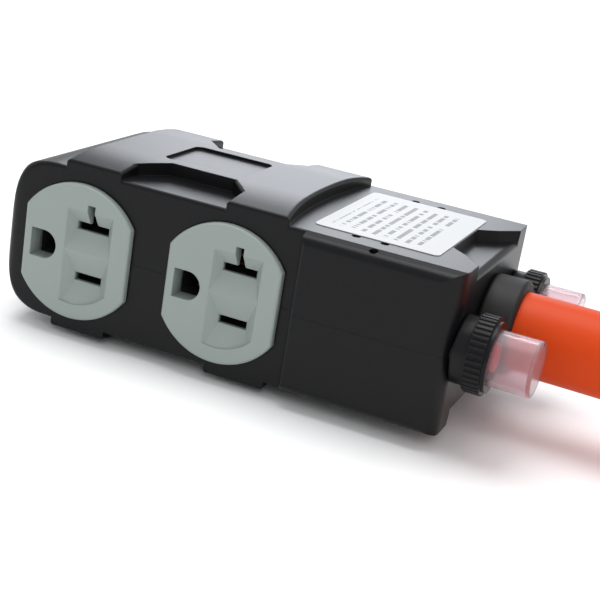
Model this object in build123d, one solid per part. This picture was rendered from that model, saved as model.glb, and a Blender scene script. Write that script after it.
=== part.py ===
from build123d import *
import os
from math import cos, pi, radians, tan

# A hand-held box with four 20 A outlets, two on each side, on the end of a short thick cord.
# Millimetres. +X runs along the box towards the cord, -Y is the front side, +Z is up.
# Everything is built about the box's mid-height and lifted onto its resting face at the end.

# ---- housing ----
NOSE_X = -64.9            # rounded nose
CORD_END_X = 49.5         # end wall that the cord comes out of
BODY_WIDTH = 54.8         # between the flat side walls
BODY_HEIGHT = 38.4        # between the top and bottom ledges
PANEL_RISE = 1.8          # raised panel above the ledge, at the side walls
PANEL_CROWN = 1.4         # and this much more along the middle
CROWN_FLAT = 24.0         # width of the panel's level middle
WALL = 2.6
NOSE_LENGTH = 12.9        # over which the section shrinks to the nose's flat tip
NOSE_POWER = 2.5          # of the curve it follows
NOSE_DROP = 9.4           # how far the top and bottom have come in at the tip
NOSE_TURN = 2.2           # and the sides
TIP_SIDE_LENGTH = 4.0     # the sides turn in later than the top and bottom
TIP_CORNER = 8.8
NOSE_STEPS = 7
EDGE_ROUND = 0.8

# ---- raised panels ----
PANEL_START_X = -50.4
PANEL_END_X = 7.2
PANEL_END_BOW = 2.6
NOTCH_X = -22.0           # middle of the finger notches
NOTCH_OUTER = 13.7        # half lengths and depths of a notch
NOTCH_INNER = 8.2
NOTCH_STRAIGHT = 8.0
NOTCH_DEPTH = 14.8
PLATE_X = -23.8           # shallow recess for a name plate
PLATE_LENGTH = 21.5
PLATE_WIDTH = 19.0
PLATE_DEPTH = 0.7
PLATE_CORNER = 2.0

# ---- breaker blocks, on both sides of the cord ----
BLOCK_X = 11.6
BLOCK_WIDTH = 60.2
BLOCK_HEIGHT = 36.4
BLOCK_SLOPE_WIDTH = 3.4
BLOCK_CORNER = 5.0
BLOCK_ROUND = 2.4
BLOCK_BACK_ROUND = 1.2
SADDLE_LENGTH = 8.0
SADDLE_OUTER = 18.5       # half widths of the scoop above the cord
SADDLE_MIDDLE = 13.5
SADDLE_INNER = 10.0
SADDLE_DEPTH = 2.6
SADDLE_LIP = 1.5          # round over into the end wall
VENT_RADIUS = 1.0
VENT_DEPTH = 1.4
VENTS = ((21.4, 21.6), (28.3, 21.6), (28.0, 27.9))

# ---- label ----
LABEL_X = 25.6
LABEL_LENGTH = 30.0
LABEL_WIDTH = 41.0
LABEL_THICK = 0.15
LABEL_CORNER = 1.5

# ---- outlets: standard duplex faces with 20 A slots ----
OUTLET_XS = (-45.0, -6.1)
OUTLET_Z = -0.6           # the outlets sit a little below mid-height
FACE_RADIUS = 16.8
FACE_FLAT = 14.3          # half distance between the flats
FACE_PROUD = 1.7
FACE_ROUND = 0.7
FACE_CLEARANCE = 0.12
FLANGE_RIM = 1.3
FLANGE_THICK = 2.0
FLANGE_ROOM = 0.7         # above and below the flange, inside the shells
SEAT_DEPTH = 0.3          # the flange sits this far into the wall from inside
SLOT_WIDTH = 2.0
NEUTRAL_Z = 6.35
HOT_Z = -6.35
SLOT_X = 3.2
NEUTRAL_LENGTH = 8.6
HOT_LENGTH = 7.2
STEM_X = 3.45
STEM_TOP = 12.35
GROUND_X = -8.65
GROUND_RADIUS = 3.5
FUNNEL_DEPTH = 2.3
FUNNEL_LEFT = -2.9
FUNNEL_RIGHT = 9.5
FUNNEL_TOP = 10.6
RIDGE_Z = 0.6             # where the two funnels meet
FUNNEL_BOTTOM = -14.0     # cut off sooner by a round wall
FUNNEL_RADIUS = 12.9
SLOT_LIP = 1.0            # thickness of the face around each slot
GROUND_LIP = 4.4          # and depth of the ground hole before it opens out

# ---- receptacle bases and their contacts ----
BASE_MARGIN = 13.8
BASE_HALF_HEIGHT = 14.2
BASE_BACK_Y = 5.2
POCKET_ROOM = 1.3         # around each contact
LEAF = 0.6
BLADE_GAP = 1.5
BUS_THICK = 0.8
BUS_WIDTH = 4.0
GROUND_BUS_WIDTH = 3.2
GROUND_GRIP = 4.8         # ground pin diameter, held between two leaves
BUS_END_X = 14.0
LEAF_DEPTH = 13.5
BRIDGE_X = 11.0

# ---- breakers ----
END_Z = 0.6               # the breakers and the cord sit a little above mid-height
BREAKER_Y = BLOCK_WIDTH / 2 - 8.5
CASE_WIDTH = 11.6
CASE_HEIGHT = 26.0
CASE_LENGTH = 22.7
NECK_RADIUS = 5.8
NECK_REACH = 5.8          # thread past the end wall
HOLE_CLEARANCE = 0.15
BUTTON_RADIUS = 3.3
BUTTON_CLEARANCE = 0.06
BUTTON_PROUD = 8.8        # tip from the end wall
BUTTON_COLLAR = 4.4
COLLAR_THICK = 1.2
SHOULDER = 1.0            # inside the case's front, where the collar stops
STEM_RADIUS = 1.5
STEM_LENGTH = 7.0
ROOM_LENGTH = 12.0        # for the collar, its spring and the travel
ROOM_RADIUS = 4.8
SPRING_RADIUS = 2.7
SPRING_WIRE = 0.7
SPRING_TURNS = 5
COLLAR_RADIUS = 7.9
COLLAR_LENGTH = 3.2
NUT_RADIUS = 9.05
NUT_LENGTH = 4.2
NUT_RIBS = 40
RIB_RADIUS = 0.35
BEZEL_RADIUS = 8.1
BEZEL_LENGTH = 0.9
BOOT_RADIUS = 6.45
BOOT_WALL = 1.1
BOOT_LENGTH = 18.0        # from the end wall
BOOT_FOOT_RADIUS = 7.4
TAB_WIDTH = 6.3
TAB_THICK = 0.8
TAB_LENGTH = 9.0
TAB_Z = 6.4

# ---- cord, its bushing and clamp ----
CORD_RADIUS = 9.7
BUSHING_RADIUS = 12.2
BUSHING_REACH = 8.2
BUSHING_NECK = 11.0
BUSHING_FLANGE = 12.0
BUSHING_ROUND = 1.0
JACKET_START_X = 26.0
CLAMP_X = 33.0
CLAMP_LENGTH = 8.0
CLAMP_HALF_WIDTH = 13.4
CLAMP_ROOM = BODY_HEIGHT / 2 - SADDLE_DEPTH - WALL
CLAMP_GAP = 0.5
CLAMP_SCREW_Y = 11.4
LEAD_RADIUS = 1.8
LEAD_OFFSET = 3.6
LEAD_BEND = 2.0
LEAD_TURN_X = 16.2        # where the leads turn out to the breakers

# ---- housing screws ----
SCREW_RADIUS = 1.5
SCREW_HEAD_RADIUS = 2.7
SCREW_HEAD = 2.0
SCREW_SINK = 1.5
BOSS_RADIUS = 3.2
SCREW_CLEARANCE = 0.1
SCREW_PLACES = ((-52.0, 0), (-25.5, 0), (21.9, -9.6), (21.9, 9.6))

# ---- plug on the far end ----
PLUG_LENGTH = 52.0
PLUG_WIDTH = 58.0
PLUG_HEIGHT = 45.0
PLUG_CORNER = 12.0
PLUG_SHOULDER = 4.0
RELIEF_LENGTH = 32.0
RELIEF_RADIUS = 14.0
RELIEF_TIP_RADIUS = 11.2
BLADE_LENGTH = 24.0
BLADE_ROOT = 12.0
BLADE_HEIGHT = 15.2
BLADE_THICK = 2.1
BLADE_SPACING = 26.0
NEUTRAL_BLADE_Z = -9.5
GROUND_PIN_Z = 15.0
GROUND_PIN_RADIUS = 3.2
GROUND_PIN_EXTRA = 3.0
PLUG_SCREW_RADIUS = 1.8

MID_Z = BODY_HEIGHT / 2 + PANEL_RISE + PANEL_CROWN
HALF_WIDTH = BODY_WIDTH / 2
LEDGE = BODY_HEIGHT / 2
FACE_Y = HALF_WIDTH + FACE_PROUD
FLANGE_TOP = HALF_WIDTH - WALL + SEAT_DEPTH
BASE_TOP = FLANGE_TOP - FLANGE_THICK
STOP_X = CORD_END_X - WALL - SHOULDER
NEUTRAL_LEVEL = OUTLET_Z + NEUTRAL_Z
HOT_LEVEL = OUTLET_Z + HOT_Z

# The free cord's route: out of the bushing, down to the surface, a loose bend, up into the plug.
CORD_ROUTE = [
    (CORD_END_X + BUSHING_REACH, 0, MID_Z + END_Z),
    (110, 0, MID_Z + END_Z),
    (164, 3, 15.0),
    (221, 11, 10.7),
    (279, 24, 10.0),
    (337, 39, 9.9),
    (394, 51, 13.0),
    (449, 56, PLUG_HEIGHT / 2),
    (500, 56, PLUG_HEIGHT / 2),
]

parts = {}
BOOT_TIP_X = CORD_END_X + BOOT_LENGTH
CENTRE_X = (NOSE_X + BOOT_TIP_X) / 2


def placed(shape):
    """Centres the box over the origin and stands it on its lower panel."""
    return Pos(-CENTRE_X, 0, MID_Z) * shape


def turned(shape):
    """The same piece on the rear side: half a turn about the box's long axis."""
    return Rot(180, 0, 0) * shape


def raised(shape):
    """Lifts a piece of the cord's end, drawn about mid-height, to where it sits."""
    return Pos(0, 0, END_Z) * shape


def box_between(low, high):
    size = [b - a for a, b in zip(low, high)]
    middle = [(a + b) / 2 for a, b in zip(low, high)]
    return Pos(*middle) * Box(*size)


def rod_x(x0, x1, radius, y=0, z=0):
    return Pos((x0 + x1) / 2, y, z) * Rot(0, 90, 0) * Cylinder(radius, x1 - x0)


def rod_z(x, y, z0, z1, radius):
    return Pos(x, y, (z0 + z1) / 2) * Cylinder(radius, z1 - z0)


def along_x(face, x0, x1):
    """Carries a face drawn in the YZ plane from x0 to x1."""
    return extrude(Pos(x0, 0, 0) * face, x1 - x0, dir=(1, 0, 0))


def up_down(face, half_height):
    return extrude(face, half_height, both=True)


# ---------------- housing ----------------

def nose_section(reach, inset):
    """The box's section at a distance from the nose's tip, in the YZ plane."""
    def grown(share):
        left = 1 - min(share, 1)
        return (1 - left**NOSE_POWER) ** (1 / NOSE_POWER)

    rise, spread = grown(reach / NOSE_LENGTH), grown(reach / TIP_SIDE_LENGTH)
    half_height = LEDGE - NOSE_DROP * (1 - rise) - inset
    half_width = HALF_WIDTH - NOSE_TURN * (1 - spread) - inset
    corner = EDGE_ROUND + (TIP_CORNER - EDGE_ROUND) * (1 - rise)
    corner = max(corner - inset, EDGE_ROUND / 2)
    face = Plane.YZ * RectangleRounded(2 * half_width, 2 * half_height, corner)
    return Pos(NOSE_X + inset + reach * (1 - inset / NOSE_LENGTH), 0, 0) * face


def body_block(inset=0.0):
    """The box with its rounded nose up to the breaker blocks' end corners, or its cavity."""
    reaches = [NOSE_LENGTH * (1 - cos(pi / 2 * step / NOSE_STEPS)) for step in range(NOSE_STEPS + 1)]
    sections = [nose_section(reach, inset) for reach in reaches]
    length = CORD_END_X - BLOCK_CORNER - NOSE_X - NOSE_LENGTH
    return loft(sections) + extrude(sections[-1], length, dir=(1, 0, 0))


def crowned_section():
    """The panels' cross-section: level in the middle, then bent down to the side walls."""
    flat, top, edge = CROWN_FLAT / 2, MID_Z, LEDGE + PANEL_RISE
    right = TangentArc((flat, top), (HALF_WIDTH, edge), tangent=(1, 0))
    left = mirror(right, Plane.YZ)
    upper = Line((-flat, top), (flat, top)) + right + left
    outline = upper + mirror(upper, Plane.XZ)
    outline += [Line((s * HALF_WIDTH, edge), (s * HALF_WIDTH, -edge)) for s in (-1, 1)]
    return Plane.YZ * make_face(outline)


def panel_plan():
    """The raised panels from above: notched for the fingers, bowed in at the label's end."""
    half, depth = HALF_WIDTH, HALF_WIDTH - NOTCH_DEPTH
    straight = HALF_WIDTH - NOTCH_STRAIGHT
    side = [
        (PANEL_START_X, half),
        (NOTCH_X - NOTCH_OUTER, half),
        (NOTCH_X - NOTCH_OUTER, straight),
        (NOTCH_X - NOTCH_INNER, depth),
        (NOTCH_X + NOTCH_INNER, depth),
        (NOTCH_X + NOTCH_OUTER, straight),
        (NOTCH_X + NOTCH_OUTER, half),
        (PANEL_END_X, half),
    ]
    lower = [(x, -y) for x, y in side]
    end = ThreePointArc(lower[-1], (PANEL_END_X - PANEL_END_BOW, 0), side[-1])
    return make_face(Polyline(*side) + Polyline(*lower) + Line(side[0], lower[0]) + end)


def panels():
    solid = along_x(crowned_section(), PANEL_START_X, PANEL_END_X)
    solid &= up_down(panel_plan(), MID_Z)
    plate = Pos(PLATE_X, 0) * RectangleRounded(PLATE_LENGTH, PLATE_WIDTH, PLATE_CORNER)
    recess = Pos(0, 0, MID_Z - PLATE_DEPTH) * extrude(plate, PLATE_DEPTH)
    solid -= recess
    rims = [e for e in solid.edges() if abs(e.center().Z) > LEDGE + PANEL_RISE - 0.2]
    rims = [e for e in rims if abs(e.center().X - PLATE_X) > PLATE_LENGTH / 2 + 1]
    rims = [e for e in rims if not is_crown_line(e)]
    return fillet(rims, EDGE_ROUND)


def is_crown_line(edge):
    """Whether an edge is where the level middle of a panel meets its bent sides."""
    return abs(abs(edge.center().Y) - CROWN_FLAT / 2) < 0.05 and edge.center().Z ** 2 > (MID_Z - 0.05) ** 2


def breaker_blocks():
    half, top = BLOCK_WIDTH / 2, BLOCK_HEIGHT / 2
    inner = half - BLOCK_SLOPE_WIDTH
    outline = [(inner, LEDGE), (half, top), (half, -top), (inner, -LEDGE)]
    outline += [(-y, z) for y, z in reversed(outline)]
    section = make_face(Polyline(*outline, close=True))
    section = fillet([v for v in section.vertices() if abs(abs(v.X) - half) < 0.01], BLOCK_ROUND)
    length = CORD_END_X - BLOCK_X
    plan = Pos((BLOCK_X + CORD_END_X) / 2, 0) * Rectangle(length, BLOCK_WIDTH)
    corners = plan.vertices().group_by(Axis.X)
    plan = fillet(corners[-1], BLOCK_CORNER)
    plan = fillet(plan.vertices().group_by(Axis.X)[0], BLOCK_BACK_ROUND)
    return along_x(Plane.YZ * section, BLOCK_X, CORD_END_X) & up_down(plan, LEDGE)


def saddle():
    """The scoop over the cord, between the two breaker blocks; the same one is under it."""
    end = CORD_END_X
    side = [
        (end + 1, SADDLE_OUTER),
        (end, SADDLE_OUTER),
        (end - SADDLE_LENGTH / 2, SADDLE_MIDDLE),
        (end - SADDLE_LENGTH, SADDLE_INNER),
    ]
    outline = side + [(x, -y) for x, y in reversed(side)]
    plan = make_face(Polyline(*outline, close=True))
    floor = LEDGE - SADDLE_DEPTH
    scoop = Pos(0, 0, floor) * extrude(plan, SADDLE_DEPTH + 1, taper=-12)
    return scoop + (Pos(0, 0, floor) * extrude(plan, -SADDLE_LIP) & lip_round(floor))


def lip_round(floor):
    """What goes when the corner between the scoop's floor and the end wall is rounded."""
    x, z = CORD_END_X - SADDLE_LIP, floor - SADDLE_LIP
    corner = box_between((x, -SADDLE_OUTER, z), (CORD_END_X + 1, SADDLE_OUTER, floor))
    return corner - Pos(x, 0, z) * Rot(90, 0, 0) * Cylinder(SADDLE_LIP, 2 * SADDLE_OUTER + 2)


def boss(x, y):
    return rod_z(x, y, -LEDGE + WALL / 2, LEDGE - WALL / 2, BOSS_RADIUS)


def cavity():
    block_half = BLOCK_WIDTH / 2 - WALL
    block_top = CLAMP_ROOM
    front = CORD_END_X - WALL
    main = body_block(WALL) & box_between((NOSE_X, -HALF_WIDTH, -LEDGE), (BLOCK_X, HALF_WIDTH, LEDGE))
    block = box_between((BLOCK_X - 1, -block_half, -block_top), (front, block_half, block_top))
    narrow = box_between((BLOCK_X - 1, -HALF_WIDTH + WALL, -block_top), (BLOCK_X + WALL, HALF_WIDTH - WALL, block_top))
    wide = block & box_between((BLOCK_X + WALL, -BLOCK_WIDTH, -LEDGE), (front, BLOCK_WIDTH, LEDGE))
    return main + narrow + wide


def outlet_outline(grow=0.0):
    disc = Circle(FACE_RADIUS + grow)
    return disc & Rectangle(2 * (FACE_FLAT + grow), 4 * FACE_RADIUS)


def flange_outline(grow=0.0):
    """The face's own outline with a rim at its flats, kept inside the shells' top and bottom."""
    inside = 2 * (LEDGE - WALL - FLANGE_ROOM - abs(OUTLET_Z) + grow)
    return outlet_outline(FLANGE_RIM + grow) & Rectangle(4 * FACE_RADIUS, inside)


def on_front(x, y):
    """A plane facing the front at an outlet, its own x along the box and its own y upwards."""
    return Plane(origin=(x, -y, OUTLET_Z), x_dir=(1, 0, 0), z_dir=(0, -1, 0))


def housing():
    solid = body_block() + breaker_blocks() + panels() - cavity()
    for x, y in SCREW_PLACES:
        solid += boss(x, y)
    for scoop in (saddle(), mirror(saddle(), Plane.XY)):
        solid -= scoop
    for x in OUTLET_XS:
        hole = extrude(on_front(x, FACE_Y) * outlet_outline(FACE_CLEARANCE), -FACE_PROUD - WALL - 1)
        seat = extrude(on_front(x, FLANGE_TOP) * flange_outline(FACE_CLEARANCE), -FLANGE_THICK - 1)
        solid -= hole + seat
        solid -= turned(hole + seat)
    for side in (-1, 1):
        start, end = CORD_END_X - 2 * WALL, CORD_END_X + 1
        solid -= rod_x(start, end, NECK_RADIUS + HOLE_CLEARANCE, side * BREAKER_Y, END_Z)
        for x, y in VENTS:
            solid -= rod_z(x, side * y, LEDGE - VENT_DEPTH, LEDGE + 1, VENT_RADIUS)
    solid -= rod_x(CORD_END_X - 2 * WALL, CORD_END_X + 1, BUSHING_NECK, 0, END_Z)
    return solid


def screw_drill(x, y):
    """The clearance hole, head recess and thread hole for one housing screw, from below."""
    head = -MID_Z + SCREW_SINK + SCREW_HEAD if y == 0 else -LEDGE + SCREW_SINK + SCREW_HEAD
    reach = head + screw_length(y)
    hole = rod_z(x, y, -MID_Z - 1, reach, SCREW_RADIUS + SCREW_CLEARANCE)
    return hole + rod_z(x, y, -MID_Z - 1, head, SCREW_HEAD_RADIUS + SCREW_CLEARANCE)


def screw_length(y):
    return 24.0 if y == 0 else 21.0


def housing_screw(x, y):
    head = -MID_Z + SCREW_SINK + SCREW_HEAD if y == 0 else -LEDGE + SCREW_SINK + SCREW_HEAD
    shank = rod_z(x, y, head, head + screw_length(y) - 1, SCREW_RADIUS)
    top = rod_z(x, y, head - SCREW_HEAD, head, SCREW_HEAD_RADIUS)
    cross = Pos(x, y, head - SCREW_HEAD) * (Box(3.4, 0.8, 1.6) + Box(0.8, 3.4, 1.6))
    return shank + top - cross


def make_housing():
    solid = housing()
    for x, y in SCREW_PLACES:
        solid -= screw_drill(x, y)
    reach = 4 * BODY_WIDTH
    above = Pos(0, 0, reach / 2) * Box(reach, reach, reach)
    parts["upper_shell"] = solid & above
    parts["lower_shell"] = solid - above
    parts["housing_screws"] = Compound([housing_screw(x, y) for x, y in SCREW_PLACES])
    label = RectangleRounded(LABEL_LENGTH, LABEL_WIDTH, LABEL_CORNER)
    parts["rating_label"] = Pos(LABEL_X, 0, LEDGE) * extrude(label, LABEL_THICK)


# ---------------- outlets ----------------

def rectangle_between(x0, z0, x1, z1):
    return Pos((x0 + x1) / 2, (z0 + z1) / 2) * Rectangle(x1 - x0, z1 - z0)


def slot(length, z, grow=0.0):
    half_x, half_z = length / 2 + grow, SLOT_WIDTH / 2 + grow
    return rectangle_between(SLOT_X - half_x, z - half_z, SLOT_X + half_x, z + half_z)


def ground_hole():
    disc = Pos(GROUND_X, 0) * Circle(GROUND_RADIUS)
    return disc + rectangle_between(GROUND_X - GROUND_RADIUS, -GROUND_RADIUS, GROUND_X, GROUND_RADIUS)


def funnel(z0, z1, length, z):
    """A four-sided funnel from a rectangle in the face down to a slot."""
    mouth = rectangle_between(FUNNEL_LEFT, z0, FUNNEL_RIGHT, z1)
    return loft([mouth, Pos(0, 0, -FUNNEL_DEPTH) * slot(length, z)])


def stem_hole(grow=0.0):
    half = SLOT_WIDTH / 2 + grow
    return rectangle_between(STEM_X - half, NEUTRAL_Z - grow, STEM_X + half, STEM_TOP + grow)


def outlet_face(x):
    """One face with its flange, drawn facing up and then stood in the front wall."""
    wall_depth = FACE_Y - FLANGE_TOP
    depth = wall_depth + FLANGE_THICK
    solid = extrude(outlet_outline(), -wall_depth)
    rim = solid.faces().sort_by(Axis.Z)[-1].edges()
    solid = fillet(rim, FACE_ROUND)
    solid += Pos(0, 0, -depth) * extrude(flange_outline(), FLANGE_THICK)
    solid -= extrude(slot(NEUTRAL_LENGTH, NEUTRAL_Z) + slot(HOT_LENGTH, HOT_Z) + stem_hole(), -depth)
    solid -= extrude(ground_hole(), -depth)
    round_wall = extrude(Circle(FUNNEL_RADIUS), -FUNNEL_DEPTH)
    solid -= funnel(RIDGE_Z, FUNNEL_TOP, NEUTRAL_LENGTH, NEUTRAL_Z)
    solid -= funnel(FUNNEL_BOTTOM, RIDGE_Z, HOT_LENGTH, HOT_Z) & round_wall
    behind = slot(NEUTRAL_LENGTH, NEUTRAL_Z, SLOT_LIP) + slot(HOT_LENGTH, HOT_Z, SLOT_LIP) + stem_hole(SLOT_LIP)
    solid -= Pos(0, 0, -FUNNEL_DEPTH - SLOT_LIP) * extrude(behind, -depth)
    half = GROUND_RADIUS + SLOT_LIP / 2
    ground = rectangle_between(GROUND_X - half, -half, GROUND_X + half, half)
    solid -= Pos(0, 0, -GROUND_LIP) * extrude(ground, -depth)
    return on_front(x, FACE_Y).location * solid


def receptacle_base():
    """The block behind two faces, with a pocket through it for each contact."""
    x0, x1 = OUTLET_XS[0] - BASE_MARGIN, OUTLET_XS[1] + BASE_MARGIN
    solid = box_between((x0, -BASE_TOP, -BASE_HALF_HEIGHT), (x1, -BASE_BACK_Y, BASE_HALF_HEIGHT))
    for x in OUTLET_XS:
        pockets = slot(NEUTRAL_LENGTH, NEUTRAL_Z, POCKET_ROOM) + slot(HOT_LENGTH, HOT_Z, POCKET_ROOM)
        pockets += stem_hole(POCKET_ROOM)
        ground = GROUND_RADIUS + POCKET_ROOM / 2
        pockets += rectangle_between(GROUND_X - ground, -ground, GROUND_X + ground, ground)
        solid -= extrude(on_front(x, BASE_TOP + 1) * pockets, BASE_BACK_Y - BASE_TOP - 2)
    return solid


def contact_leaves(x, length, z, gap):
    """Two brass leaves that grip a blade lying along the box."""
    leaves = []
    for side in (-1, 1):
        middle = z + side * (gap + LEAF) / 2
        low = (x - length / 2, -BASE_BACK_Y - LEAF_DEPTH, middle - LEAF / 2)
        leaves.append(box_between(low, (x + length / 2, -BASE_BACK_Y, middle + LEAF / 2)))
    return leaves


def bus(z, width, leaves, end_x):
    """A strip across the back of the base that joins the contacts of two outlets."""
    x0 = OUTLET_XS[0] - BASE_MARGIN
    low = (x0, -BASE_BACK_Y, z - width / 2)
    solid = box_between(low, (end_x, -BASE_BACK_Y + BUS_THICK, z + width / 2))
    for leaf in leaves:
        solid += leaf
    return solid


def make_outlets():
    hot, neutral, ground = [], [], []
    for x in OUTLET_XS:
        hot += contact_leaves(x + SLOT_X, HOT_LENGTH, HOT_LEVEL, BLADE_GAP)
        neutral += contact_leaves(x + SLOT_X, NEUTRAL_LENGTH, NEUTRAL_LEVEL, BLADE_GAP)
        ground += contact_leaves(x + GROUND_X, GROUND_RADIUS, OUTLET_Z, GROUND_GRIP)
        half_x, half_z = GROUND_RADIUS / 2, GROUND_GRIP / 2 + LEAF
        low = (x + GROUND_X - half_x, -BASE_BACK_Y, OUTLET_Z - half_z)
        high = (x + GROUND_X + half_x, -BASE_BACK_Y + BUS_THICK, OUTLET_Z + half_z)
        ground.append(box_between(low, high))
    front = {
        "receptacle_base": receptacle_base(),
        "hot_contacts": bus(HOT_LEVEL, BUS_WIDTH, hot, BUS_END_X),
        "neutral_contacts": bus(NEUTRAL_LEVEL, BUS_WIDTH, neutral, BUS_END_X),
        "ground_contacts": bus(OUTLET_Z, GROUND_BUS_WIDTH, ground, BRIDGE_X),
    }
    for x, end in zip(OUTLET_XS, ("nose", "cord")):
        front[f"{end}_outlet_face"] = outlet_face(x)
    for name, solid in front.items():
        parts[f"front_{name}"] = solid
        parts[f"rear_{name}"] = turned(solid)
    reach, half = BASE_BACK_Y - BUS_THICK, GROUND_BUS_WIDTH / 2
    parts["ground_bridge"] = box_between((BRIDGE_X - 2, -reach, -half), (BRIDGE_X, reach, half))


# ---------------- breakers ----------------

def breaker_case():
    """The moulded case and its threaded neck, bored for the button and its spring."""
    front = CORD_END_X - WALL
    half_y, half_z = CASE_WIDTH / 2, CASE_HEIGHT / 2
    solid = box_between((front - CASE_LENGTH, -half_y, -half_z), (front, half_y, half_z))
    solid = fillet(solid.edges().filter_by(Axis.X), 1.0)
    solid += rod_x(front, CORD_END_X + NECK_REACH, NECK_RADIUS)
    solid -= rod_x(STOP_X, CORD_END_X + NECK_REACH + 1, BUTTON_RADIUS + BUTTON_CLEARANCE)
    solid -= rod_x(STOP_X - ROOM_LENGTH, STOP_X, ROOM_RADIUS)
    return Pos(0, -BREAKER_Y, 0) * solid


def reset_button():
    """Drawn right out, its collar against the stop inside the case."""
    back = STOP_X - COLLAR_THICK
    shank = rod_x(back, CORD_END_X + BUTTON_PROUD, BUTTON_RADIUS)
    shank = fillet(shank.faces().sort_by(Axis.X)[-1].edges(), 0.5)
    collar = rod_x(back, STOP_X, BUTTON_COLLAR)
    stem = rod_x(back - STEM_LENGTH, back, STEM_RADIUS)
    return Pos(0, -BREAKER_Y, 0) * (shank + collar + stem)


def button_spring():
    """A coil between the case's inner wall and the button's collar."""
    length = ROOM_LENGTH - COLLAR_THICK - SPRING_WIRE
    coil = Helix(length / SPRING_TURNS, length, SPRING_RADIUS)
    section = Plane(origin=coil @ 0, z_dir=coil % 0) * Circle(SPRING_WIRE / 2)
    spring = sweep(section, path=coil)
    start = STOP_X - ROOM_LENGTH + SPRING_WIRE / 2
    return Pos(start, -BREAKER_Y, 0) * Rot(0, 90, 0) * spring


def breaker_terminals():
    back = CORD_END_X - WALL - CASE_LENGTH
    half = TAB_WIDTH / 2
    tabs = []
    for z in (-TAB_Z, TAB_Z):
        tab = box_between((back - TAB_LENGTH, -half, z - TAB_THICK / 2), (back, half, z + TAB_THICK / 2))
        tab = chamfer(tab.faces().sort_by(Axis.X)[0].edges().filter_by(Axis.Z), 1.0)
        tabs.append(Pos(0, -BREAKER_Y, 0) * tab)
    return Compound(tabs)


def sealing_collar():
    ring = rod_x(CORD_END_X, CORD_END_X + COLLAR_LENGTH, COLLAR_RADIUS)
    ring = fillet(ring.faces().sort_by(Axis.X)[0].edges(), 0.6)
    ring -= rod_x(CORD_END_X - 1, CORD_END_X + COLLAR_LENGTH + 1, NECK_RADIUS)
    return Pos(0, -BREAKER_Y, 0) * ring


def knurled_nut():
    """A ribbed ring and a plain bezel, screwed on the neck over the boot's foot."""
    x0 = CORD_END_X + COLLAR_LENGTH
    x1 = x0 + NUT_LENGTH
    x2 = x1 + BEZEL_LENGTH
    grooves = PolarLocations(NUT_RADIUS, NUT_RIBS) * Circle(RIB_RADIUS)
    section = Plane.YZ * (Circle(NUT_RADIUS) - grooves)
    ring = along_x(section, x0 + 0.4, x1)
    ring += rod_x(x0, x0 + 0.4, NUT_RADIUS - RIB_RADIUS)
    ring += rod_x(x1, x2, BEZEL_RADIUS)
    ring -= rod_x(x0 - 1, CORD_END_X + NECK_REACH, NECK_RADIUS)
    ring -= rod_x(x0 + 1.6, boot_foot_end(), BOOT_FOOT_RADIUS)
    ring -= rod_x(x0 + 1.6, x2 + 1, BOOT_RADIUS)
    return Pos(0, -BREAKER_Y, 0) * ring


def boot_foot_end():
    return CORD_END_X + COLLAR_LENGTH + NUT_LENGTH - 0.6


def clear_boot():
    """A clear cap over the button, with a foot that the nut holds down."""
    foot = CORD_END_X + COLLAR_LENGTH + 1.6
    tip = CORD_END_X + BOOT_LENGTH
    solid = rod_x(foot, tip, BOOT_RADIUS)
    solid = fillet(solid.faces().sort_by(Axis.X)[-1].edges(), 0.5)
    solid += rod_x(foot, boot_foot_end(), BOOT_FOOT_RADIUS)
    solid -= rod_x(foot - 1, tip - BOOT_WALL, BOOT_RADIUS - BOOT_WALL)
    solid -= rod_x(foot - 1, CORD_END_X + NECK_REACH, NECK_RADIUS)
    return Pos(0, -BREAKER_Y, 0) * solid


def make_breakers():
    front = {
        "breaker_case": breaker_case(),
        "reset_button": reset_button(),
        "button_spring": button_spring(),
        "breaker_terminals": breaker_terminals(),
        "sealing_collar": sealing_collar(),
        "knurled_nut": knurled_nut(),
        "clear_boot": clear_boot(),
    }
    for name, solid in front.items():
        parts[f"front_{name}"] = raised(solid)
        parts[f"rear_{name}"] = raised(turned(solid))


# ---------------- cord entry and wiring ----------------

def cord_bushing():
    wall_back = CORD_END_X - WALL
    solid = rod_x(CORD_END_X, CORD_END_X + BUSHING_REACH, BUSHING_RADIUS)
    solid = fillet(solid.edges().filter_by(GeomType.CIRCLE), BUSHING_ROUND)
    solid += rod_x(wall_back, CORD_END_X + 1, BUSHING_NECK)
    solid += rod_x(wall_back - 2, wall_back, BUSHING_FLANGE)
    return solid - rod_x(wall_back - 3, CORD_END_X + BUSHING_REACH + 1, CORD_RADIUS)


def clamp_half(height):
    low = (CLAMP_X - CLAMP_LENGTH / 2, -CLAMP_HALF_WIDTH, CLAMP_GAP)
    solid = box_between(low, (CLAMP_X + CLAMP_LENGTH / 2, CLAMP_HALF_WIDTH, height))
    solid = fillet(solid.edges().filter_by(Axis.X).group_by(Axis.Z)[-1], 2.0)
    solid -= rod_x(CLAMP_X - CLAMP_LENGTH, CLAMP_X + CLAMP_LENGTH, CORD_RADIUS)
    for side in (-1, 1):
        solid -= rod_z(CLAMP_X, side * CLAMP_SCREW_Y, -1, height + 1, SCREW_RADIUS)
    return solid


def clamp_screws():
    low, high = -CLAMP_ROOM - END_Z, CLAMP_ROOM - END_Z
    return Compound([rod_z(CLAMP_X, side * CLAMP_SCREW_Y, low, high, SCREW_RADIUS) for side in (-1, 1)])


def make_cord_entry():
    parts["cord_bushing"] = raised(cord_bushing())
    parts["cord_clamp_top"] = raised(clamp_half(CLAMP_ROOM - END_Z))
    parts["cord_clamp_bottom"] = raised(mirror(clamp_half(CLAMP_ROOM + END_Z), Plane.XY))
    parts["cord_clamp_screws"] = raised(clamp_screws())
    parts["inner_cord_end"] = raised(rod_x(JACKET_START_X, CORD_END_X + BUSHING_REACH, CORD_RADIUS))


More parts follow.
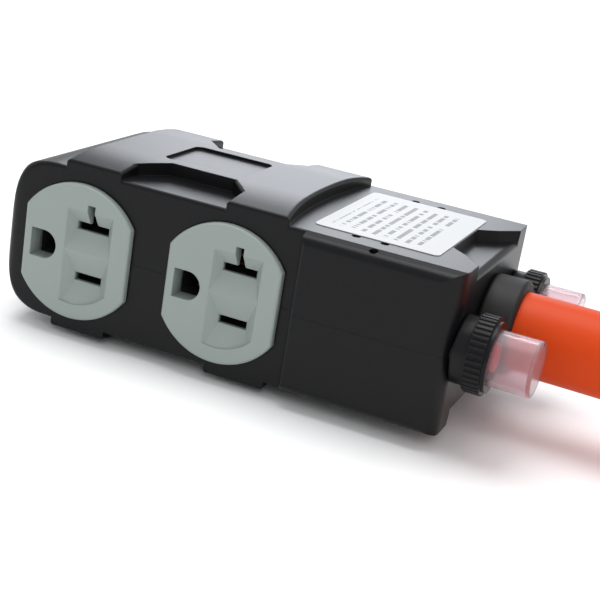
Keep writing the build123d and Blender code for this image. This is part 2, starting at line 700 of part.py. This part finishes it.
def make_wiring():
    start, off, turn = JACKET_START_X, LEAD_OFFSET, LEAD_TURN_X
    tab_edge = BREAKER_Y - TAB_WIDTH / 2
    bus_face, bus_middle = BASE_BACK_Y - BUS_THICK, BASE_BACK_Y - BUS_THICK / 2
    line = [(start, -off, off), (turn, -off, off), (turn, -tab_edge - LEAD_RADIUS, TAB_Z)]
    load = [(turn, -tab_edge, -TAB_Z), (turn, -bus_middle, -TAB_Z), (BUS_END_X, -bus_middle, -TAB_Z)]
    front_leads = {
        "line_lead": wire(line) & between_walls(tab_edge),
        "load_lead": wire(load),
    }
    for name, solid in front_leads.items():
        parts[f"front_{name}"] = raised(solid)
        parts[f"rear_{name}"] = raised(turned(solid))
    neutral_x, level = BUS_END_X - LEAD_RADIUS, NEUTRAL_LEVEL - END_Z
    neutral = [(start, off, off), (start - 3, off, off), (start - 7.5, 0, off + 1.4)]
    neutral += [(neutral_x, 0, level), (neutral_x, -bus_face, level)]
    parts["neutral_lead"] = raised(wire(neutral))
    ground = [(start, -off, -off), (start - 5.5, -off, -off), (start - 9, 0, 0), (BRIDGE_X, 0, 0)]
    parts["ground_lead"] = raised(wire(ground))
    jumper_x = OUTLET_XS[0] - BASE_MARGIN + LEAD_RADIUS
    jumper = Line((jumper_x, -2 * bus_face, 2 * NEUTRAL_LEVEL), (jumper_x, 2 * bus_face, -2 * NEUTRAL_LEVEL))
    parts["neutral_jumper"] = wire_along(jumper) & between_walls(bus_face)


def wire_along(path):
    return sweep(Plane(origin=path @ 0, z_dir=path % 0) * Circle(LEAD_RADIUS), path=path)


def wire(points):
    """A round wire along straight runs joined by tangent arcs."""
    return wire_along(FilletPolyline(*points, radius=LEAD_BEND))


def between_walls(reach):
    return Box(4 * BODY_WIDTH, 2 * reach, 4 * BODY_HEIGHT)


# ---------------- free cord and plug ----------------

def bend_radii(points):
    """Each corner's arc is as large as its two runs allow."""
    radii = []
    for a, b, c in zip(points, points[1:], points[2:]):
        before, after = Vector(*b) - Vector(*a), Vector(*c) - Vector(*b)
        half_turn = radians(before.get_angle(after)) / 2
        radii.append(0.45 * min(before.length, after.length) / tan(half_turn))
    return radii


def make_cord():
    radii = bend_radii(CORD_ROUTE)
    path = FilletPolyline(*CORD_ROUTE, radius=radii)
    section = Plane(origin=path @ 0, z_dir=path % 0) * Circle(CORD_RADIUS)
    cord = sweep(section, path=path)
    parts["supply_cord"] = Pos(0, 0, -MID_Z) * cord
    print("cord radii", [round(r) for r in radii], "least", round(min(radii) / CORD_RADIUS / 2, 1), "diameters")
    print("cord length", round(path.length, 1), "volume ratio", round(cord.volume / section.area / path.length, 4))


def plug_section(shrink=0.0):
    shape = RectangleRounded(PLUG_WIDTH - 2 * shrink, PLUG_HEIGHT - 2 * shrink, PLUG_CORNER - shrink / 2)
    return Plane.YZ * shape


def plug_blades():
    """Solids in the plug's own frame: X out of its face, which is at 0."""
    half = BLADE_HEIGHT / 2
    blades = {"hot": [], "neutral": []}
    spots = [("hot", -BLADE_SPACING / 2, 0), ("hot", BLADE_SPACING / 2, 0), ("neutral", 0, NEUTRAL_BLADE_Z)]
    for name, y, z in spots:
        low = (-BLADE_ROOT, y - BLADE_THICK / 2, z - half)
        blade = box_between(low, (BLADE_LENGTH, y + BLADE_THICK / 2, z + half))
        blades[name].append(chamfer(blade.faces().sort_by(Axis.X)[-1].edges(), 0.6))
    pin = rod_x(-BLADE_ROOT, BLADE_LENGTH + GROUND_PIN_EXTRA, GROUND_PIN_RADIUS, 0, GROUND_PIN_Z)
    return blades, fillet(pin.faces().sort_by(Axis.X)[-1].edges(), 1.5)


def make_plug():
    x, y, z = CORD_ROUTE[-1]
    place = Pos(x + RELIEF_LENGTH + PLUG_LENGTH, y, z - MID_Z)
    blades, pin = plug_blades()
    body = along_x(plug_section(), -PLUG_LENGTH, 0)
    body = fillet(body.faces().sort_by(Axis.X)[-1].edges(), 1.5)
    body = fillet(body.faces().sort_by(Axis.X)[0].edges(), PLUG_SHOULDER)
    for blade in blades["hot"] + blades["neutral"] + [pin]:
        body -= blade
    screw_x, screw_y = -PLUG_LENGTH / 2, PLUG_WIDTH / 2 - PLUG_CORNER / 2
    screws = []
    for side in (-1, 1):
        top = rod_z(screw_x, side * screw_y, PLUG_HEIGHT / 2 - 12, PLUG_HEIGHT / 2 - 2.5, PLUG_SCREW_RADIUS)
        body -= rod_z(screw_x, side * screw_y, PLUG_HEIGHT / 2 - 12, PLUG_HEIGHT / 2 + 1, PLUG_SCREW_RADIUS)
        screws.append(top)
    start, end = -PLUG_LENGTH - RELIEF_LENGTH, -PLUG_LENGTH
    relief = Pos((start + end) / 2, 0, 0) * Rot(0, 90, 0) * Cone(RELIEF_TIP_RADIUS, RELIEF_RADIUS, end - start)
    relief = fillet(relief.faces().sort_by(Axis.X)[0].edges(), 1.0)
    parts["plug_body"] = place * body
    parts["plug_strain_relief"] = place * relief
    parts["plug_hot_blades"] = place * Compound(blades["hot"])
    parts["plug_neutral_blade"] = place * blades["neutral"][0]
    parts["plug_ground_pin"] = place * pin
    parts["plug_screws"] = place * Compound(screws)


make_housing()
make_outlets()
make_breakers()
make_cord_entry()
make_wiring()
make_cord()
make_plug()

os.makedirs("parts", exist_ok=True)
for node, shape in parts.items():
    export_step(placed(shape), f"parts/{node}.step")
print(len(parts), "parts")
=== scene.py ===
# %% [markdown]
# # An in-line outlet box on a short, thick cord
#
# We dress a CAD model of a hand-held outlet box: black moulded shells, pale outlet faces, two
# reset buttons under clear boots, and an orange cord. The CAD model gives every size and place, so
# nothing here moves it. This lesson adds the camera, the light, the soft cord that a solid
# modeller draws too plainly, and the finishes. The cord is the only piece made again here.
#
# Lengths are in metres in the scene, and `MM` turns millimetres into metres. Bump heights and edge
# radii below are in metres too, because a bump works in the scene's own unit.

import bpy
from mathutils import Matrix, Vector


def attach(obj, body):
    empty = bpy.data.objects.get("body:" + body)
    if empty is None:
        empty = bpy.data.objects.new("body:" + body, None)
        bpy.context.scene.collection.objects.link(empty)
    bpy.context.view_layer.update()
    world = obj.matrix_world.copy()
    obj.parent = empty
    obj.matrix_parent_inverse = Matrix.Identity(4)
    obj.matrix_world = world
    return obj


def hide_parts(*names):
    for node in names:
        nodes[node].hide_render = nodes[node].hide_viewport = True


MM = 0.001

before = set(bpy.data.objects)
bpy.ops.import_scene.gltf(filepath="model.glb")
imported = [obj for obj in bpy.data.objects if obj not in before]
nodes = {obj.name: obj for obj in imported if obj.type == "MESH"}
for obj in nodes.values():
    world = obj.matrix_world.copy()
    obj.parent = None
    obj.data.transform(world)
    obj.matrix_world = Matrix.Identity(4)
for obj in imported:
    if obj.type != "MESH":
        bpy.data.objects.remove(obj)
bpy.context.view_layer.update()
scene = bpy.context.scene

# %% [markdown]
# ## The camera
#
# A camera is a place and three directions. Here the three directions are written as the columns
# of a matrix: where the picture's right side points, where its top points, and where the camera's
# back points. A long lens (82 mm) keeps the box's parallel edges almost parallel.

# %% Camera
RIGHT = Vector((0.9103, 0.3837, 0.1556))
UP = Vector((-0.2616, 0.2417, 0.9344))
BACK = Vector((0.3209, -0.8913, 0.3204))
EYE = Vector((109.9, -300.6, 123.7)) * MM

camera_data = bpy.data.cameras.new("camera")
camera_data.lens = 81.76
camera_data.sensor_width = 36
camera_data.clip_start = 0.01
camera_data.clip_end = 100
camera = bpy.data.objects.new("camera", camera_data)
turn = Matrix((RIGHT, UP, BACK)).transposed().to_4x4()
camera.matrix_world = Matrix.Translation(EYE) @ turn
scene.collection.objects.link(camera)
scene.camera = camera
print("camera at", [round(v, 3) for v in EYE])

# %% [markdown]
# ## Nodes of a material
#
# A material is a small graph. One helper adds a node, sets its sockets and wires it up, so that
# each finish below reads as a list of steps. Colours are written the way a paint shop would, as
# hexadecimal sRGB, and one function turns them into the linear values that light needs.


# %% Material helpers
def linear(code, alpha=1.0):
    """An sRGB colour such as "#E0551F" as linear RGBA."""
    values = [int(code[i : i + 2], 16) / 255 for i in (1, 3, 5)]
    return (*[v / 12.92 if v <= 0.04045 else ((v + 0.055) / 1.055) ** 2.4 for v in values], alpha)


def add(tree, kind, settings=None, inputs=None, links=None):
    """Adds a node, sets its properties and input values, and links other nodes' outputs to it."""
    node = tree.nodes.new(kind)
    for name, value in (settings or {}).items():
        setattr(node, name, value)
    for name, value in (inputs or {}).items():
        node.inputs[name].default_value = value
    for name, (source, output) in (links or {}).items():
        tree.links.new(source.outputs[output], node.inputs[name])
    return node


def new_material(name, **inputs):
    """A plain surface: its shader's own sockets are set by name, with _ for each space."""
    made = bpy.data.materials.new(name)
    made.use_nodes = True
    shader = made.node_tree.nodes["Principled BSDF"]
    for socket, value in inputs.items():
        shader.inputs[socket.replace("_", " ")].default_value = value
    return made, made.node_tree, shader


def grain(tree, shader, scale, height, edge=0.0003):
    """Fine moulded texture: noise read as tiny bumps, over edges that are rounded by a hair."""
    place = add(tree, "ShaderNodeTexCoord")
    noise = add(
        tree,
        "ShaderNodeTexNoise",
        inputs={"Scale": scale, "Detail": 3.0},
        links={"Vector": (place, "Object")},
    )
    rounded = add(tree, "ShaderNodeBevel", settings={"samples": 6}, inputs={"Radius": edge})
    bump = add(
        tree,
        "ShaderNodeBump",
        inputs={"Distance": height, "Strength": 1.0},
        links={"Height": (noise, "Fac"), "Normal": (rounded, "Normal")},
    )
    tree.links.new(bump.outputs["Normal"], shader.inputs["Normal"])


def dress(material, *names):
    for name in names:
        mesh = nodes[name].data
        mesh.materials.clear()
        mesh.materials.append(material)


def both(*names):
    """The same piece on the front and on the rear side."""
    return [f"{side}_{name}" for side in ("front", "rear") for name in names]


print("helpers ready")

# %% [markdown]
# ## Plastics and rubber
#
# The housing is black nylon with a fine grain, whose noise has features a few tenths of a
# millimetre wide. Its specular level is low, so a side that faces the pale floor stays black, while
# a top seen at a shallow angle still turns bright. The Bevel node rounds the light over every sharp
# edge, as a mould does, and leaves the mesh alone.

# %% Plastics and rubber
nylon, tree, shader = new_material(
    "black_moulded_nylon", Base_Color=linear("#0E0E10"), Roughness=0.34, Specular_IOR_Level=0.19
)
grain(tree, shader, 2600, 0.00002)
rubber, tree, shader = new_material(
    "black_moulded_rubber", Base_Color=linear("#171615"), Roughness=0.55, Specular_IOR_Level=0.3
)
grain(tree, shader, 2000, 0.00002)
outlet_nylon, tree, shader = new_material(
    "pale_outlet_nylon", Base_Color=linear("#8E9792"), Roughness=0.45, Specular_IOR_Level=0.35
)
grain(tree, shader, 1500, 0.00001)
jacket, tree, shader = new_material(
    "orange_cord_jacket", Base_Color=linear("#CC3F00"), Roughness=0.46, Specular_IOR_Level=0.2
)
grain(tree, shader, 900, 0.00002)
phenolic, _, _ = new_material("dark_grey_thermoset", Base_Color=linear("#2C2D2D"), Roughness=0.6)
red, _, _ = new_material("red_button_plastic", Base_Color=linear("#C21D1F"), Roughness=0.3)
white_wire, _, _ = new_material("white_insulation", Base_Color=linear("#E4E2DA"), Roughness=0.45)
green_wire, _, _ = new_material("green_insulation", Base_Color=linear("#2F7A45"), Roughness=0.45)
print("plastics ready")

# %% [markdown]
# ## Metals and the clear boots
#
# The contacts are brass strip, the blades are nickel plated and the screws are zinc plated. The
# boots over the buttons are clear vinyl that has gone slightly milky: mostly transmission, but
# rough enough to blur the red button inside.

# %% Metals and vinyl
brass, _, _ = new_material("brass_strip", Base_Color=linear("#C39A4A"), Metallic=1.0, Roughness=0.3)
nickel, _, _ = new_material("nickel_plate", Base_Color=linear("#C2BFB4"), Metallic=1.0, Roughness=0.28)
zinc, _, _ = new_material("zinc_plated_steel", Base_Color=linear("#8E9093"), Metallic=1.0, Roughness=0.35)
vinyl, _, _ = new_material(
    "clear_flexible_vinyl",
    Base_Color=linear("#EED9DE"),
    Roughness=0.22,
    Transmission_Weight=0.88,
    IOR=1.25,
    Specular_IOR_Level=0.6,
)
print("metals and vinyl ready")

# %% [markdown]
# ## The printed label
#
# The label carries small rows of print. No real words are copied. Each row is a band across
# the box, cut into short marks: a cell is inked when a random number for that cell and row is high
# enough, which at this size looks like lines of letters.
#
# All of it is arithmetic on the object's own coordinates, so the marks keep their size.


# %% Printed label
def step(tree, operation, first, second, output="Value"):
    """Arithmetic on an output and a second one or a number, which some operations ignore."""
    links, inputs = {0: first}, {}
    if isinstance(second, tuple):
        links[1] = second
    else:
        inputs[1] = second
    return add(tree, "ShaderNodeMath", {"operation": operation}, inputs, links), output


def near(tree, value, middle, reach):
    """One where a value is within reach of a middle, else zero."""
    away = step(tree, "ABSOLUTE", step(tree, "SUBTRACT", value, middle), 0.0)
    return step(tree, "LESS_THAN", away, reach)


ROW_PITCH = 2.65 * MM
ROW_HALF_HEIGHT = 0.2  # of a band, as a share of the pitch
LETTER = 0.8 * MM
BLANKS = 0.3  # share of the cells with no ink
PRINT_X, PRINT_HALF_LENGTH = 23.5 * MM, 11.4 * MM
PRINT_Y, PRINT_HALF_WIDTH = -1 * MM, 16 * MM
label, tree, shader = new_material("printed_label_film", Roughness=0.45, Specular_IOR_Level=0.3)
axes = add(tree, "ShaderNodeSeparateXYZ", links={"Vector": (add(tree, "ShaderNodeTexCoord"), "Object")})
along, across = (axes, "X"), (axes, "Y")
row = step(tree, "DIVIDE", along, ROW_PITCH)
band = near(tree, step(tree, "FRACT", row, 0.0), 0.5, ROW_HALF_HEIGHT)
cell = step(tree, "FLOOR", step(tree, "DIVIDE", across, LETTER), 0.0)
key = add(tree, "ShaderNodeCombineXYZ", links={"X": cell, "Y": step(tree, "FLOOR", row, 0.0)})
chance = add(tree, "ShaderNodeTexWhiteNoise", settings={"noise_dimensions": "2D"}, links={"Vector": (key, "Vector")})
ink = step(tree, "GREATER_THAN", (chance, "Value"), BLANKS)
in_length = near(tree, along, PRINT_X, PRINT_HALF_LENGTH)
in_width = near(tree, across, PRINT_Y, PRINT_HALF_WIDTH)
inside = step(tree, "MULTIPLY", in_length, in_width)
mark = step(tree, "MULTIPLY", step(tree, "MULTIPLY", band, ink), inside)
colour = add(
    tree,
    "ShaderNodeMix",
    settings={"data_type": "RGBA"},
    inputs={"A": linear("#B4B5B6"), "B": linear("#6E6E70")},
    links={"Factor": mark},
)
tree.links.new(colour.outputs["Result"], shader.inputs["Base Color"])
print("label rows every", round(ROW_PITCH / MM, 2), "mm")

# %% [markdown]
# ## Dressing the parts
#
# Every CAD part keeps its shape and gets one finish.

# %% Dressing
dress(nylon, "upper_shell", "lower_shell", "cord_clamp_top", "cord_clamp_bottom")
dress(nylon, *both("breaker_case", "sealing_collar", "knurled_nut", "line_lead", "load_lead"))
dress(rubber, "cord_bushing")
dress(outlet_nylon, *both("nose_outlet_face", "cord_outlet_face"))
dress(phenolic, *both("receptacle_base"))
dress(brass, *both("hot_contacts", "neutral_contacts", "ground_contacts"), "ground_bridge", "plug_ground_pin")
dress(nickel, *both("breaker_terminals"), "plug_hot_blades", "plug_neutral_blade")
dress(zinc, "housing_screws", "cord_clamp_screws", "plug_screws", *both("button_spring"))
dress(red, *both("reset_button"))
dress(vinyl, *both("clear_boot"))
dress(label, "rating_label")
dress(white_wire, "neutral_lead", "neutral_jumper")
dress(green_wire, "ground_lead")
dress(jacket, "inner_cord_end", "supply_cord", "plug_body", "plug_strain_relief")
print(len(bpy.data.materials), "materials")

# %% [markdown]
# ## The cord
#
# The cord is a curve with a round bevel. Its control points are the corners of the CAD route, and
# a third-order spline rounds them off: it touches each straight part halfway along and turns
# towards the next one, so the cord bends gently, as a stiff cord does on a table. The plug on
# its far end is a CAD part.

# %% Cord
CORD_RADIUS = 9.7 * MM
START_Z = 23.0
CORD_ROUTE = [
    (56.4, 0, START_Z),
    (108.7, 0, START_Z),
    (162.7, 3, 15.0),
    (219.7, 11, 10.7),
    (277.7, 24, 10.0),
    (335.7, 39, 9.9),
    (392.7, 51, 13.0),
    (447.7, 56, 22.5),
    (498.7, 56, 22.5),
]

curve = bpy.data.curves.new("cord_jacket", "CURVE")
curve.dimensions = "3D"
curve.bevel_depth = CORD_RADIUS
curve.bevel_resolution = 12
curve.use_fill_caps = True
spline = curve.splines.new("NURBS")
spline.points.add(len(CORD_ROUTE) - 1)
for point, place in zip(spline.points, CORD_ROUTE):
    point.co = (*[v * MM for v in place], 1.0)
spline.order_u = 3
spline.use_endpoint_u = True
spline.resolution_u = 24
cord = bpy.data.objects.new("cord_jacket", curve)
scene.collection.objects.link(cord)
curve.materials.append(jacket)
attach(cord, "box")
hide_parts("supply_cord")
print("cord laid through", len(CORD_ROUTE), "points")

# %% [markdown]
# ## The floor and the light
#
# A plain pale floor and three soft lamps. Large lamps give wide, gentle reflections, which is what
# shows the shape of a black object. The one behind sits where the camera would see it if the top
# panel were a mirror, so the panel's level middle turns pale and its bent sides stay dark.


# %% Floor and light
def plane(name, size, z, material):
    half = size / 2
    mesh = bpy.data.meshes.new(name)
    mesh.from_pydata([(-half, -half, z), (half, -half, z), (half, half, z), (-half, half, z)], [], [(0, 1, 2, 3)])
    mesh.materials.append(material)
    made = bpy.data.objects.new(name, mesh)
    scene.collection.objects.link(made)


def lamp(name, place, target, size, power, tint="#FFFFFF"):
    data = bpy.data.lights.new(name, "AREA")
    data.shape = "DISK"
    data.size = size
    data.energy = power
    data.color = linear(tint)[:3]
    made = bpy.data.objects.new(name, data)
    made.location = place
    made.rotation_euler = (Vector(target) - Vector(place)).to_track_quat("-Z", "Y").to_euler()
    scene.collection.objects.link(made)


floor_material, _, _ = new_material("pale_floor", Base_Color=linear("#F7F7F7"), Roughness=0.9)
floor_material.node_tree.nodes["Principled BSDF"].inputs["Specular IOR Level"].default_value = 0.1
plane("floor", 30, -0.0005, floor_material)

world = bpy.data.worlds.new("studio")
world.use_nodes = True
world.node_tree.nodes["Background"].inputs["Color"].default_value = linear("#F4F6F8")
world.node_tree.nodes["Background"].inputs["Strength"].default_value = 0.75
scene.world = world
lamp("back_softbox", (-0.42, 1.15, 0.42), (0, 0, 0.02), 0.62, 3.4, "#F2F7FF")
lamp("top_softbox", (-0.1, 0.15, 1.1), (0, 0, 0), 0.9, 9)
lamp("front_softbox", (0.5, -1.0, 0.8), (0, 0, 0), 0.6, 3)
scene.view_settings.view_transform = "Standard"
print("lamps and floor placed")
